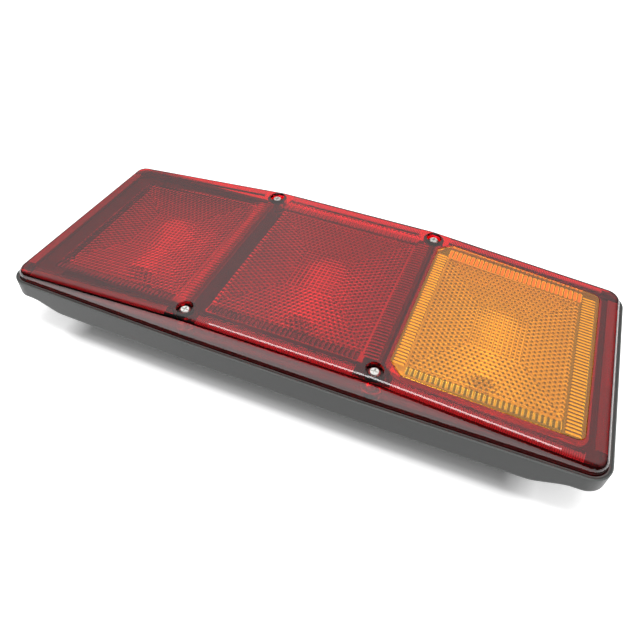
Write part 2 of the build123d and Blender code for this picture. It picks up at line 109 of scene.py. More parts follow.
# Grain of each finish: its scale, its least and greatest roughness, its height and the share of metal
GRAINS = {
    "black moulding": (700.0, 0.32, 0.46, 0.25, 0.0),
    "black rubber": (500.0, 0.6, 0.8, 0.2, 0.0),
    "zinc plate": (600.0, 0.22, 0.36, 0.1, 1.0),
    "tinned steel": (600.0, 0.55, 0.7, 0.1, 0.4),
    "brass": (600.0, 0.2, 0.35, 0.1, 1.0),
    "metallised plastic": (300.0, 0.42, 0.55, 0.05, 1.0),
    "brown laminate": (400.0, 0.5, 0.65, 0.2, 0.0),
}
GRAIN_DEPTH = 0.1 * MM
GRAIN_DETAIL = 3.0
# How much of the colour is left in the crown of a pillow, which paints shade as a dark dot in it, and
# of the green in two kinds of flute, more in one for a painted highlight and less in the other for
# painted shade
CROWN_PAINTED_SHADE = 0.04
BAR_PAINTED_LIGHT = 1.15
DEEP_PAINTED_SHADE = 0.45
# Radius of the moulding's softened edges, and how many times paler the painted highlight makes them
# along the edge
EDGE_RADIUS = 1.5 * MM
EDGE_HIGHLIGHT_GAIN = 10.0
# How far a softened edge and the plain one agree where the painted highlight begins and where it is
# full
EDGE_HIGHLIGHT_RANGE = (0.985, 0.86)
# Clearness of the finishes after the crown
CLEARNESS = {"red": (0.92, 0.8, 0.8, 1.0), "amber": (0.92, 0.35, 0.4, 0.86)}
PLASTIC_IOR = 1.49
# Corners of a flute before it is drawn out
FLUTE_CORNERS = 12
# Shares of the flute height that the flank and the shoulder of a flute take, and the width of the
# shoulder as a share of the half width
FLUTE_DROPS = (0.5, 0.4)
FLUTE_SHOULDER = 0.34
# The blocks that clear the plain optics: their depth, their play and how far they bite into the plate
BLOCK_DEPTH = 4.0 * MM
BLOCK_PLAY = 0.3 * MM
BLOCK_BITE = 0.02 * MM
# Width of a rib as a share of its pitch, and how far it reaches up into the plate
RIB_FILL = 0.96
RIB_ROOT = 0.1 * MM
# Distances within which points are merged or count as level
PILLOW_MERGE = 0.02 * MM
LENS_MERGE = 0.0005 * MM
LEVEL = 0.01 * MM
SMOOTH_ANGLE = math.radians(32.0)
# The floor's width and tone, and how its white grows with the distance from the lamp, painting a
# shadow round it
FLOOR_WIDTH = 8.0
FLOOR_TONE = 0.85
FLOOR_PAINTED_SHADOW = (("From Max", 18.0 * MM), ("To Min", 0.03), ("To Max", 0.5))
# Place and size of the lamp overhead, and the width of the camera's sensor in millimetres
KEY_PLACE = (0.0, -0.09, 1.0)
KEY_SIZE = (0.95, 0.3)
SENSOR_WIDTH = 36.0


# Sizes and colours that a user would change


class LensSizes(PropertyGroup):
    """Sizes of the optics under the lens."""

    pitch: FloatProperty(
        name="Pillow pitch", description="Distance between pillows in a row",
        default=3.06 * MM, unit="LENGTH",
    )
    square_pitch: FloatProperty(
        name="Square pitch", description="Distance between the square pillows of the middle",
        default=2.65 * MM, unit="LENGTH",
    )
    depth: FloatProperty(
        name="Pillow depth", description="How far a pillow stands down",
        default=0.55 * MM, unit="LENGTH",
    )
    lean: FloatProperty(
        name="Pillow lean", description="How far a sector's pillows lean away from the middle",
        default=0.35 * MM, unit="LENGTH",
    )
    field_width: FloatProperty(
        name="Field width", description="Width of the plain optics that the pillows replace",
        default=96.0 * MM, unit="LENGTH",
    )
    middle_length: FloatProperty(
        name="Middle length", description="Length of the level middle of a field",
        default=31.0 * MM, unit="LENGTH",
    )
    middle_width: FloatProperty(
        name="Middle width", description="Width of the level middle of a field",
        default=34.0 * MM, unit="LENGTH",
    )
    middle_drop: FloatProperty(
        name="Middle drop", description="How far the middle of a field lies below its edge",
        default=1.3 * MM, unit="LENGTH",
    )
    bend: FloatProperty(
        name="Face bend", description="Fall of the end facets of the lens",
        default=math.radians(4.2), subtype="ANGLE",
    )
    bend_x: FloatProperty(
        name="Bend place", description="Where the end facets of the lens begin",
        default=54.0 * MM, unit="LENGTH",
    )
    underside: FloatProperty(
        name="Underside", description="Height of the red plate's inner face",
        default=48.8 * MM, unit="LENGTH",
    )
    amber_underside: FloatProperty(
        name="Amber underside", description="Height of the amber plate's inner face before it tilts",
        default=47.6 * MM, unit="LENGTH",
    )
    root: FloatProperty(
        name="Optics root", description="How far the optics reach up into the plate",
        default=0.5 * MM, unit="LENGTH",
    )
    flute_pitch: FloatProperty(
        name="Flute pitch", description="Distance between flutes along the lamp",
        default=2.85 * MM, unit="LENGTH",
    )
    side_pitch: FloatProperty(
        name="Side flute pitch", description="Distance between flutes across the lamp",
        default=2.4 * MM, unit="LENGTH",
    )
    flute_length: FloatProperty(
        name="Flute length", description="Length of a flute", default=6.5 * MM, unit="LENGTH",
    )
    flute_height: FloatProperty(
        name="Flute height", description="How far a flute stands down",
        default=0.9 * MM, unit="LENGTH",
    )
    flute_gap: FloatProperty(
        name="Flute gap", description="Distance from a field to its flutes",
        default=0.8 * MM, unit="LENGTH",
    )
    # The bead carries the dark crown finish: a painted shade line along the border
    painted_shade_bead_place: FloatProperty(
        name="Bead place", description="Distance of the border's dark bead from the middle line",
        default=61.9 * MM, unit="LENGTH",
    )
    side_run: FloatProperty(
        name="Side run", description="Half length of a row of flutes across the lamp",
        default=51.0 * MM, unit="LENGTH",
    )
    rib_pitch: FloatProperty(
        name="Rib pitch", description="Distance between the fine ribs of the border",
        default=1.1 * MM, unit="LENGTH",
    )
    rib_height: FloatProperty(
        name="Rib height", description="Height of a fine rib with its root",
        default=0.65 * MM, unit="LENGTH",
    )
    rib_length: FloatProperty(
        name="Rib length", description="Length of a fine rib with its root in the wall",
        default=5.7 * MM, unit="LENGTH",
    )
    rib_place: FloatProperty(
        name="Rib place", description="Distance of the fine ribs from the middle line",
        default=65.75 * MM, unit="LENGTH",
    )


class LampColours(PropertyGroup):
    """Colours of the lamp's finishes."""

    red: FloatVectorProperty(
        name="Red plastic", description="Colour of light through the red lens",
        default=(0.78, 0.018, 0.032), subtype="COLOR", min=0.0, max=1.0,
    )
    amber: FloatVectorProperty(
        name="Amber plastic", description="Colour of light through the amber lens",
        default=(1.0, 0.56, 0.04), subtype="COLOR", min=0.0, max=1.0,
    )
    housing: FloatVectorProperty(
        name="Housing", description="Colour of the moulded housing",
        default=(0.021, 0.023, 0.022), subtype="COLOR", min=0.0, max=1.0,
    )
    rubber: FloatVectorProperty(
        name="Rubber", description="Colour of the gasket, seals and grommet",
        default=(0.012, 0.012, 0.012), subtype="COLOR", min=0.0, max=1.0,
    )
    zinc: FloatVectorProperty(
        name="Zinc", description="Colour of the plated screws",
        default=(0.86, 0.86, 0.83), subtype="COLOR", min=0.0, max=1.0,
    )
    brass: FloatVectorProperty(
        name="Brass", description="Colour of the contacts, the earth strip and the inserts",
        default=(0.72, 0.52, 0.22), subtype="COLOR", min=0.0, max=1.0,
    )
    tin: FloatVectorProperty(
        name="Tin", description="Colour of the bulb holders and bases",
        default=(0.92, 0.92, 0.9), subtype="COLOR", min=0.0, max=1.0,
    )
    silver: FloatVectorProperty(
        name="Silver", description="Colour of the metallised reflectors",
        default=(0.7, 0.7, 0.71), subtype="COLOR", min=0.0, max=1.0,
    )
    laminate: FloatVectorProperty(
        name="Laminate", description="Colour of the contact insulators",
        default=(0.2, 0.1, 0.045), subtype="COLOR", min=0.0, max=1.0,
    )
    glass: FloatVectorProperty(
        name="Glass", description="Colour of light through the bulbs",
        default=(0.97, 0.97, 0.96), subtype="COLOR", min=0.0, max=1.0,
    )


class StageSettings(PropertyGroup):
    """Camera and light."""

    lens: FloatProperty(
        name="Focal length", description="Camera lens in millimetres", default=32.427, min=1.0,
    )
    place: FloatVectorProperty(
        name="Camera place", description="Where the camera stands",
        default=(0.097532, -0.252282, 0.281498), subtype="TRANSLATION",
    )
    azimuth: FloatProperty(
        name="Azimuth", description="Camera's turn about Z", default=math.radians(20.675),
        subtype="ANGLE",
    )
    elevation: FloatProperty(
        name="Elevation", description="Camera's height angle", default=math.radians(45.35),
        subtype="ANGLE",
    )
    roll: FloatProperty(
        name="Roll", description="Camera's roll", default=math.radians(2.399), subtype="ANGLE",
    )
    sky: FloatProperty(
        name="Room light", description="Strength of the light from all round", default=1.06, min=0.0,
    )
    key: FloatProperty(
        name="Key light", description="Power of the long lamp overhead in watts", default=7.0, min=0.0,
    )


# Node helpers


def fresh_material(name):
    """A new node material that holds only an output."""
    material = bpy.data.materials.new(name)
    material.use_nodes = True
    tree = material.node_tree
    tree.nodes.clear()
    output = tree.nodes.new("ShaderNodeOutputMaterial")
    return material, tree, output


def principled(tree, output, colour, roughness, metallic=0.0):
    """A Principled shader wired to the output."""
    shader = tree.nodes.new("ShaderNodeBsdfPrincipled")
    shader.inputs["Base Color"].default_value = (*colour, 1.0)
    shader.inputs["Roughness"].default_value = roughness
    shader.inputs["Metallic"].default_value = metallic
    tree.links.new(shader.outputs["BSDF"], output.inputs["Surface"])
    return shader


def grain_group():
    """A shared fine grain that varies roughness and height over a surface."""
    group = bpy.data.node_groups.new("fine grain", "ShaderNodeTree")
    for name, value in (("Scale", 900.0), ("Smooth", 0.35), ("Rough", 0.5)):
        socket = group.interface.new_socket(name, in_out="INPUT", socket_type="NodeSocketFloat")
        socket.default_value = value
    group.interface.new_socket("Roughness", in_out="OUTPUT", socket_type="NodeSocketFloat")
    group.interface.new_socket("Height", in_out="OUTPUT", socket_type="NodeSocketFloat")
    nodes, links = group.nodes, group.links
    start = nodes.new("NodeGroupInput")
    end = nodes.new("NodeGroupOutput")
    where = nodes.new("ShaderNodeTexCoord")
    noise = nodes.new("ShaderNodeTexNoise")
    noise.inputs["Detail"].default_value = GRAIN_DETAIL
    spread = nodes.new("ShaderNodeMapRange")
    links.new(where.outputs["Object"], noise.inputs["Vector"])
    links.new(start.outputs["Scale"], noise.inputs["Scale"])
    links.new(noise.outputs["Fac"], spread.inputs["Value"])
    links.new(start.outputs["Smooth"], spread.inputs["To Min"])
    links.new(start.outputs["Rough"], spread.inputs["To Max"])
    links.new(spread.outputs["Result"], end.inputs["Roughness"])
    links.new(noise.outputs["Fac"], end.inputs["Height"])
    return group


def round_edges_with_painted_highlight(tree, shader, colour, radius):
    """Rounds the look of sharp edges and paints a pale highlight along them."""
    soften = tree.nodes.new("ShaderNodeBevel")
    soften.inputs["Radius"].default_value = radius
    shape = tree.nodes.new("ShaderNodeNewGeometry")
    along = tree.nodes.new("ShaderNodeVectorMath")
    along.operation = "DOT_PRODUCT"
    tree.links.new(soften.outputs["Normal"], along.inputs[0])
    tree.links.new(shape.outputs["Normal"], along.inputs[1])
    highlight_mask = tree.nodes.new("ShaderNodeMapRange")
    for name, value in zip(("From Min", "From Max"), EDGE_HIGHLIGHT_RANGE):
        highlight_mask.inputs[name].default_value = value
    tree.links.new(along.outputs["Value"], highlight_mask.inputs["Value"])
    # Painted highlight: the colour turns paler along the edges
    painted_shading_tint = tree.nodes.new("ShaderNodeMix")
    painted_shading_tint.data_type = "RGBA"
    painted_shading_tint.inputs["A"].default_value = (*colour, 1.0)
    painted_shading_tint.inputs["B"].default_value = (*[EDGE_HIGHLIGHT_GAIN * c for c in colour], 1.0)
    tree.links.new(highlight_mask.outputs["Result"], painted_shading_tint.inputs["Factor"])
    tree.links.new(painted_shading_tint.outputs["Result"], shader.inputs["Base Color"])
    return soften


def grained(name, colour, edge=0.0):
    """A finish with the shared grain in its roughness and its surface, and rounded edges with a
    painted highlight if asked.
    """
    scale, smooth, rough, height, metallic = GRAINS[name]
    material, tree, output = fresh_material(name)
    shader = principled(tree, output, colour, rough, metallic)
    group = tree.nodes.new("ShaderNodeGroup")
    group.node_tree = bpy.data.node_groups["fine grain"]
    group.inputs["Scale"].default_value = scale
    group.inputs["Smooth"].default_value = smooth
    group.inputs["Rough"].default_value = rough
    tree.links.new(group.outputs["Roughness"], shader.inputs["Roughness"])
    bump = tree.nodes.new("ShaderNodeBump")
    bump.inputs["Strength"].default_value = height
    bump.inputs["Distance"].default_value = GRAIN_DEPTH
    tree.links.new(group.outputs["Height"], bump.inputs["Height"])
    tree.links.new(bump.outputs["Normal"], shader.inputs["Normal"])
    if edge:
        soften = round_edges_with_painted_highlight(tree, shader, colour, edge)
        tree.links.new(soften.outputs["Normal"], bump.inputs["Normal"])
    return material


def clear_plastic(name, colour, roughness=0.02, clear=1.0, gloss=0.0):
    """A tinted plastic, more or less clear, that lets the lamps' light through to what is under it."""
    material, tree, output = fresh_material(name)
    shader = principled(tree, output, colour, roughness)
    shader.inputs["IOR"].default_value = PLASTIC_IOR
    shader.inputs["Transmission Weight"].default_value = clear
    shader.inputs["Coat Weight"].default_value = gloss
    # The square root of the colour, because light passes two faces on its way
    open_way = tree.nodes.new("ShaderNodeBsdfTransparent")
    open_way.inputs["Color"].default_value = (*[c ** 0.5 for c in colour], 1.0)
    path = tree.nodes.new("ShaderNodeLightPath")
    mix = tree.nodes.new("ShaderNodeMixShader")
    tree.links.new(path.outputs["Is Shadow Ray"], mix.inputs["Fac"])
    tree.links.new(shader.outputs["BSDF"], mix.inputs[1])
    tree.links.new(open_way.outputs["BSDF"], mix.inputs[2])
    tree.links.new(mix.outputs["Shader"], output.inputs["Surface"])
    return material


def dress(node, material):
    """Gives a CAD node a finish through its slots."""
    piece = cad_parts[node]
    for slot in piece.material_slots:
        slot.material = material


class LAMP_OT_finishes(Operator):
    """Gives every solid of the lamp its finish"""

    bl_idname = "lamp.finishes"
    bl_label = "Finishes"

    def execute(self, context):
        colours = context.scene.lamp_colours
        grain_group()
        housing = grained("black moulding", colours.housing, EDGE_RADIUS)
        rubber = grained("black rubber", colours.rubber)
        zinc = grained("zinc plate", colours.zinc)
        tin = grained("tinned steel", colours.tin)
        brass = grained("brass", colours.brass)
        silver = grained("metallised plastic", colours.silver)
        laminate = grained("brown laminate", colours.laminate)
        glass = clear_plastic("bulb glass", colours.glass, 0.3, 0.3)
        red = clear_plastic("red plastic", colours.red, gloss=0.5)
        amber = clear_plastic("amber plastic", colours.amber, clear=0.93, gloss=0.5)
        for name, colour in (("red", colours.red), ("amber", colours.amber)):
            edge, bar, deep, pillow = CLEARNESS[name]
            # The crown finish is the lens colour darkened: painted shade for the dark dots of the
            # pillows, the dark crowns of some flutes and the dark bead
            clear_plastic(f"{name} crown", [c * CROWN_PAINTED_SHADE for c in colour], 0.1)
            clear_plastic(f"{name} edge", colour, 0.3, edge)
            # The bar finish has more green, a paler, yellower copy of the lens colour that paints a
            # highlight; the deep finish has less, a deeper copy that paints shade
            for part, shade, clear in (("bar", BAR_PAINTED_LIGHT, bar), ("deep", DEEP_PAINTED_SHADE, deep)):
                painted_shading_tint = (colour[0], shade * colour[1], colour[2])
                clear_plastic(f"{name} {part}", painted_shading_tint, 0.2, clear)
            clear_plastic(f"{name} pillow", colour, 0.02, pillow)
        plan = {
            "housing": housing, "lens_gasket": rubber, "screw_seals": rubber,
            "cable_grommet": rubber, "lens_screws": zinc, "holder_screws": zinc,
            "earth_strip": brass, "mount_inserts": brass, "red_lens": red, "amber_lens": amber,
        }
        for name in CHAMBERS:
            plan[f"{name}_reflector"] = silver
            plan[f"{name}_bulb_holder"] = tin
            plan[f"{name}_bulb_base"] = tin
            plan[f"{name}_live_contact"] = brass
            plan[f"{name}_contact_insulator"] = laminate
            plan[f"{name}_bulb_glass"] = glass
        for node, material in plan.items():
            dress(node, material)
        return {"FINISHED"}


# Lens optics


def deselect():
    """Leaves edit mode and selects nothing."""
    if bpy.context.mode != "OBJECT":
        bpy.ops.object.mode_set(mode="OBJECT")
    bpy.ops.object.select_all(action="DESELECT")


def make_active(piece):
    """Selects one object alone."""
    deselect()
    piece.select_set(True)
    bpy.context.view_layer.objects.active = piece


def edit(piece, mode="FACE"):
    """Opens one object for editing with nothing selected in it."""
    make_active(piece)
    bpy.ops.object.mode_set(mode="EDIT")
    bpy.ops.mesh.select_mode(type=mode)
    bpy.ops.mesh.select_all(action="DESELECT")


def join(pieces):
    """Joins pieces into the first of them."""
    make_active(pieces[0])
    for piece in pieces[1:]:
        piece.select_set(True)
    bpy.ops.object.join()
    return pieces[0]


def place(piece, matrix):
    """Moves a piece and keeps its object at the origin."""
    piece.matrix_world = matrix
    make_active(piece)
    bpy.ops.object.transform_apply(location=True, rotation=True, scale=False)


def repeat(piece, count, step):
    """Repeats a piece along one step with an applied array."""
    make_active(piece)
    array = piece.modifiers.new("row", "ARRAY")
    array.count = count
    array.use_relative_offset = False
    array.use_constant_offset = True
    array.constant_offset_displace = step
    bpy.ops.object.modifier_apply(modifier=array.name)


def combine(piece, other, operation):
    """Adds another closed piece to a closed piece, or cuts it away, and removes the other."""
    make_active(piece)
    solve = piece.modifiers.new("combine", "BOOLEAN")
    solve.operation = operation
    solve.solver = "MANIFOLD"
    solve.object = other
    bpy.ops.object.modifier_apply(modifier=solve.name)
    bpy.data.objects.remove(other)


def give_slots(piece, materials):
    """Gives a piece its list of finishes."""
    piece.data.materials.clear()
    for material in materials:
        piece.data.materials.append(material)


def finish_selected(piece, finish):
    """Gives the selected faces one of the lens finishes."""
    piece.active_material_index = finish
    bpy.ops.object.material_slot_assign()


def close_up(piece, root):
    """Closes an open sheet by a level root above it."""
    edit(piece, "EDGE")
    bpy.ops.mesh.select_non_manifold(
        extend=False, use_wire=False, use_boundary=True, use_multi_face=False,
        use_non_contiguous=False, use_verts=False,
    )
    bpy.ops.mesh.extrude_edges_move(TRANSFORM_OT_translate={"value": (0.0, 0.0, root)})
    mesh = bmesh.from_edit_mesh(piece.data)
    for vert in mesh.verts:
        if vert.select:
            vert.co.z = root
    bmesh.update_edit_mesh(piece.data)
    bpy.ops.mesh.edge_face_add()
    bpy.ops.mesh.select_all(action="SELECT")
    bpy.ops.mesh.normals_make_consistent(inside=False)
    deselect()


def one_pillow(sizes, lean, sides, materials):
    """A single pillow with some sides that stands down from the plate and leans one way."""
    deselect()
    apothem = (sizes.square_pitch if sides == 4 else sizes.pitch) / 2
    radius = apothem / math.cos(math.pi / sides)
    bpy.ops.mesh.primitive_circle_add(vertices=sides, radius=radius, fill_type="NGON")
    pillow = bpy.context.object
    # A pillow that comes with a corner on X is turned until a side faces X
    reach = max(vert.co.x for vert in pillow.data.vertices)
    if reach > 1.01 * apothem:
        place(pillow, Matrix.Rotation(math.pi / sides, 4, "Z"))
    give_slots(pillow, materials)
    bpy.ops.object.mode_set(mode="EDIT")
    bpy.ops.mesh.select_all(action="SELECT")
    bpy.ops.mesh.flip_normals()
    finish_selected(pillow, PILLOW)
    for step, drop in PILLOW_STEPS:
        bpy.ops.mesh.inset(thickness=step * apothem, use_even_offset=True)
        shift = (lean[0] / 2, lean[1] / 2, -drop * sizes.depth)
        bpy.ops.transform.translate(value=shift)
    # The crowns take the painted-shade finish
    finish_selected(pillow, PAINTED_SHADE)
    deselect()
    return pillow


def pillow_sheet(sizes, lean, pattern, length, width, materials):
    """A flat sheet of pillows about the origin, in square or staggered rows."""
    if pattern == "columns":
        sheet = pillow_sheet(sizes, (lean[1], -lean[0]), "rows", width, length, materials)
        place(sheet, Matrix.Rotation(math.radians(90.0), 4, "Z"))
        return sheet
    if pattern == "square":
        sheet = one_pillow(sizes, lean, 4, materials)
        pitch = double = sizes.square_pitch
    else:
        sheet = one_pillow(sizes, lean, 6, materials)
        pitch = sizes.pitch
        double = pitch * math.sqrt(3)
        repeat(sheet, 2, (pitch / 2, double / 2, 0.0))
    across = 2 * (int(length / 2 / pitch) + 2)
    rows = 2 * (int(width / 2 / double) + 2)
    repeat(sheet, across, (pitch, 0.0, 0.0))
    repeat(sheet, rows, (0.0, double, 0.0))
    place(sheet, Matrix.Translation((-pitch * across / 2, -double * rows / 2, 0.0)))
    edit(sheet)
    bpy.ops.mesh.select_all(action="SELECT")
    bpy.ops.mesh.remove_doubles(threshold=PILLOW_MERGE)
    deselect()
    return sheet


class Field:
    """The plan of one chamber's pillows, about its own middle."""

    def __init__(self, name, sizes):
        start, end, self.side, self.narrow, self.wide, self.rows = FIELDS[name]
        self.middle = (start + end) / 2
        self.reach = (end - start) / 2
        self.inner_x = sizes.middle_length / 2
        self.inner_y = sizes.middle_width / 2
        self.drop = sizes.middle_drop

    def half_width(self, x):
        """Half the field's width at a place along it."""
        share = (x + self.reach) / (2 * self.reach)
        return self.narrow + share * (self.wide - self.narrow)

    def rise(self, x, y):
        """How far along each way a place lies from the level middle, one at the edge."""
        along = (abs(x) - self.inner_x) / (self.reach - self.inner_x)
        aside = (abs(y) - self.inner_y) / (self.half_width(x) - self.inner_y)
        return along, aside

    def corners(self, name):
        """The corners of one sector's plan, anticlockwise, its outer edge first."""
        inner = {(x, y): (x * self.inner_x, y * self.inner_y) for x in (-1, 1) for y in (-1, 1)}
        outer = {
            (x, y): (x * self.reach, y * self.half_width(x * self.reach))
            for x in (-1, 1) for y in (-1, 1)
        }
        if name == "middle":
            return [inner[-1, -1], inner[1, -1], inner[1, 1], inner[-1, 1]]
        start, end = {
            "near": ((-1, -1), (1, -1)), "right": ((1, -1), (1, 1)),
            "far": ((1, 1), (-1, 1)), "left": ((-1, 1), (-1, -1)),
        }[name]
        return [outer[start], outer[end], inner[end], inner[start]]

    def sunk(self, x, y):
        """How far the field lies below its edge at a place."""
        return self.drop * (1.0 - min(max(*self.rise(x, y), 0.0), 1.0))


def sector_sheet(field, name, sizes, materials):
    """The pillows of one sector, cut to its plan, sunk towards the middle and closed."""
    lean_x, lean_y, pattern = SECTORS[name]
    lean = (lean_x * sizes.lean, lean_y * sizes.lean)
    width = 2 * max(field.narrow, field.wide)
    sheet = pillow_sheet(sizes, lean, pattern, 2 * field.reach, width, materials)
    corners = [Vector((x, y, 0.0)) for x, y in field.corners(name)]
    edit(sheet)
    for start, end in zip(corners, corners[1:] + corners[:1]):
        outward = (end - start).cross(Vector((0.0, 0.0, 1.0))).normalized()
        bpy.ops.mesh.select_all(action="SELECT")
        bpy.ops.mesh.bisect(
            plane_co=start + outward * SECTOR_LAP, plane_no=outward, clear_outer=True,
        )
    mesh = bmesh.from_edit_mesh(sheet.data)
    for vert in mesh.verts:
        vert.co.z -= field.sunk(vert.co.x, vert.co.y)
    bmesh.update_edit_mesh(sheet.data)
    close_up(sheet, sizes.root)
    return sheet


def pillow_field(field, sizes, materials):
    """All the sectors of one chamber as one closed body."""
    sheets = [sector_sheet(field, name, sizes, materials) for name in SECTORS]
    for sheet in sheets[1:]:
        combine(sheets[0], sheet, "UNION")
    return sheets[0]


def one_flute(sizes, pitch, materials, row, crown, flank, share, slope):
    """A round-ended flute along Y that stands down from the plate."""
    deselect()
    radius = share * pitch / 2
    length = FLUTES[row][0] * sizes.flute_length
    bpy.ops.mesh.primitive_circle_add(vertices=FLUTE_CORNERS, radius=radius, fill_type="NGON")
    flute = bpy.context.object
    place(flute, Matrix.Rotation(math.pi / FLUTE_CORNERS, 4, "Z"))
    give_slots(flute, materials)
    for vert in flute.data.vertices:
        vert.co.y += math.copysign(length / 2 - radius, vert.co.y)
    bpy.ops.object.mode_set(mode="EDIT")
    bpy.ops.mesh.select_all(action="SELECT")
    bpy.ops.mesh.flip_normals()
    finish_selected(flute, flank)
    for step, drop in zip((slope, FLUTE_SHOULDER), FLUTE_DROPS):
        bpy.ops.mesh.inset(thickness=step * radius, use_even_offset=True)
        bpy.ops.transform.translate(value=(0.0, 0.0, -drop * sizes.flute_height))
        finish_selected(flute, crown)
    deselect()
    close_up(flute, sizes.root)
    return flute


def flute_row(field, row, sizes, materials):
    """One row of flutes beside a field."""
    x, y = SECTORS[row][:2]
    pitch = sizes.side_pitch if x else sizes.flute_pitch
    flute = one_flute(sizes, pitch, materials, row, *field.rows[row])
    run = 2 * FLUTES[row][2] * (sizes.side_run if x else field.reach)
    count = int(run / pitch)
    repeat(flute, count, (pitch, 0.0, 0.0))
    beside = FLUTES[row][1] * sizes.flute_gap + FLUTES[row][0] * sizes.flute_length / 2
    centre = Matrix.Translation((-(count - 1) * pitch / 2, 0.0, 0.0))
    if x:
        turn = Matrix.Rotation(math.radians(90.0), 4, "Z")
        there = Matrix.Translation((x * (field.reach + beside), 0.0, 0.0))
        place(flute, there @ turn @ centre)
    else:
        slope = math.atan2(field.wide - field.narrow, 2 * field.reach)
        turn = Matrix.Rotation(y * slope, 4, "Z")
        there = Matrix.Translation((0.0, y * (field.half_width(0.0) + beside), 0.0))
        place(flute, there @ turn @ centre)
    return flute


def facet_turn(sizes, side):
    """The turn that lays a level piece onto an end facet of the lens."""
    hinge = Vector((side * sizes.bend_x, 0.0, sizes.underside))
    turn = Matrix.Rotation(side * sizes.bend, 4, "Y")
    return Matrix.Translation(hinge) @ turn @ Matrix.Translation(-hinge)


def field_boxes(field, sizes, under):
    """Two crossed blocks that clear the plain optics of one chamber."""
    beside = sizes.flute_gap + sizes.flute_length + BLOCK_PLAY
    boxes = []
    for along, aside in ((BLOCK_PLAY, beside), (beside, BLOCK_PLAY)):
        deselect()
        bpy.ops.mesh.primitive_cube_add(size=1.0)
        box = bpy.context.object
        box.scale = (2 * (field.reach + along), sizes.field_width + 2 * aside, BLOCK_DEPTH)
        bpy.ops.object.transform_apply(location=False, rotation=False, scale=True)
        height = under - BLOCK_DEPTH / 2 + BLOCK_BITE
        middle = Matrix.Translation((field.middle, 0.0, height))
        place(box, facet_turn(sizes, field.side) @ middle)
        boxes.append(box)
    return boxes


def chamber_optics(name, sizes, under, materials):
    """The pillows and flutes of one chamber, laid under its part of the lens."""
    field = Field(name, sizes)
    pieces = [pillow_field(field, sizes, materials)]
    pieces += [flute_row(field, row, sizes, materials) for row in field.rows]
    whole = join(pieces)
    middle = Matrix.Translation((field.middle, 0.0, under))
    place(whole, facet_turn(sizes, field.side) @ middle)
    return whole, field_boxes(field, sizes, under)


def rib_run(sizes, length, count, materials, finish):
    """A run of fine prism ribs along Y, side by side along X and centred on the origin."""
    deselect()
    base = sizes.rib_pitch * RIB_FILL
    bpy.ops.mesh.primitive_cylinder_add(vertices=3, radius=base / math.sqrt(3), depth=length)
    rib = bpy.context.object
    place(rib, Matrix.Rotation(math.radians(90.0), 4, "X"))
    # The flat side becomes the root, whichever way up the prism came
    top = max(vert.co.z for vert in rib.data.vertices)
    low = min(vert.co.z for vert in rib.data.vertices)
    flat = sum(abs(vert.co.z - top) < LEVEL for vert in rib.data.vertices) == 4
    for vert in rib.data.vertices:
        share = (top - vert.co.z) / (top - low) if flat else (vert.co.z - low) / (top - low)
        vert.co.z = RIB_ROOT - share * sizes.rib_height
    give_slots(rib, materials)
    edit(rib)
    bpy.ops.mesh.select_all(action="SELECT")
    bpy.ops.mesh.normals_make_consistent(inside=False)
    finish_selected(rib, finish)
    deselect()
    repeat(rib, count, (sizes.rib_pitch, 0.0, 0.0))
    place(rib, Matrix.Translation((-(count - 1) * sizes.rib_pitch / 2, 0.0, 0.0)))
    return rib


def border_ribs(sizes, materials):
    """The fine ribs, and the dark bead under the border of the red plate that paints a shaded line
    along it.
    """
    runs = []
    turn = Matrix.Rotation(math.radians(90.0), 4, "Z")
    for start, end, side in RIB_RUNS:
        count = int((end - start) / sizes.rib_pitch)
        for y in (-1, 1):
            run = rib_run(sizes, sizes.rib_length, count, materials, EDGE if y < 0 else PLAIN)
            spot = Matrix.Translation(((start + end) / 2, y * sizes.rib_place, sizes.underside))
            place(run, facet_turn(sizes, side) @ spot)
            # A run of two ribs in the crown finish, a painted dark line
            painted_shade_bead = rib_run(sizes, end - start, 2, materials, PAINTED_SHADE)
            spot = Matrix.Translation(((start + end) / 2, y * sizes.painted_shade_bead_place, sizes.underside))
            place(painted_shade_bead, facet_turn(sizes, side) @ spot @ turn)
            runs += [run, painted_shade_bead]
    count = int(2 * END_RIBS[1] / sizes.rib_pitch)
    for side in (-1, 1):
        run = rib_run(sizes, sizes.rib_length, count, materials, EDGE)
        spot = Matrix.Translation((side * END_RIBS[0], 0.0, sizes.underside))
        place(run, facet_turn(sizes, side) @ spot @ turn)
        runs.append(run)
    return runs


def lens_copy(node, name):
    """A merged copy of a lens solid, to be given its optics."""
    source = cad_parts[node]
    lens = source.copy()
    lens.data = source.data.copy()
    bpy.context.collection.objects.link(lens)
    lens.parent = None
    lens.matrix_world = Matrix.Identity(4)
    lens.name = name
    make_active(lens)
    bpy.ops.mesh.customdata_custom_splitnormals_clear()
    edit(lens)
    bpy.ops.mesh.select_all(action="SELECT")
    bpy.ops.mesh.remove_doubles(threshold=LENS_MERGE)
    deselect()
    return lens


def lens_finishes(colour):
    """The finishes of one lens in the order of its slots."""
    return [bpy.data.materials[f"{colour} {part}"] for part in PLASTICS]


def optic_lens(node, materials, chambers, sizes, under, extra=()):
    """A lens solid whose plain optics give way to real pillows and flutes."""
    lens = lens_copy(node, f"{node}_optics")
    give_slots(lens, materials)
    pieces = list(extra)
    for chamber in chambers:
        optics, boxes = chamber_optics(chamber, sizes, under, materials)
        for box in boxes:
            combine(lens, box, "DIFFERENCE")
        pieces.append(optics)
    combine(lens, join(pieces), "UNION")
    make_active(lens)
    bpy.ops.object.shade_smooth_by_angle(angle=SMOOTH_ANGLE)
    even = lens.modifiers.new("even normals", "WEIGHTED_NORMAL")
    even.keep_sharp = True
    bpy.ops.object.modifier_apply(modifier=even.name)
    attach(lens, "root")
    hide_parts(node)
    return lens


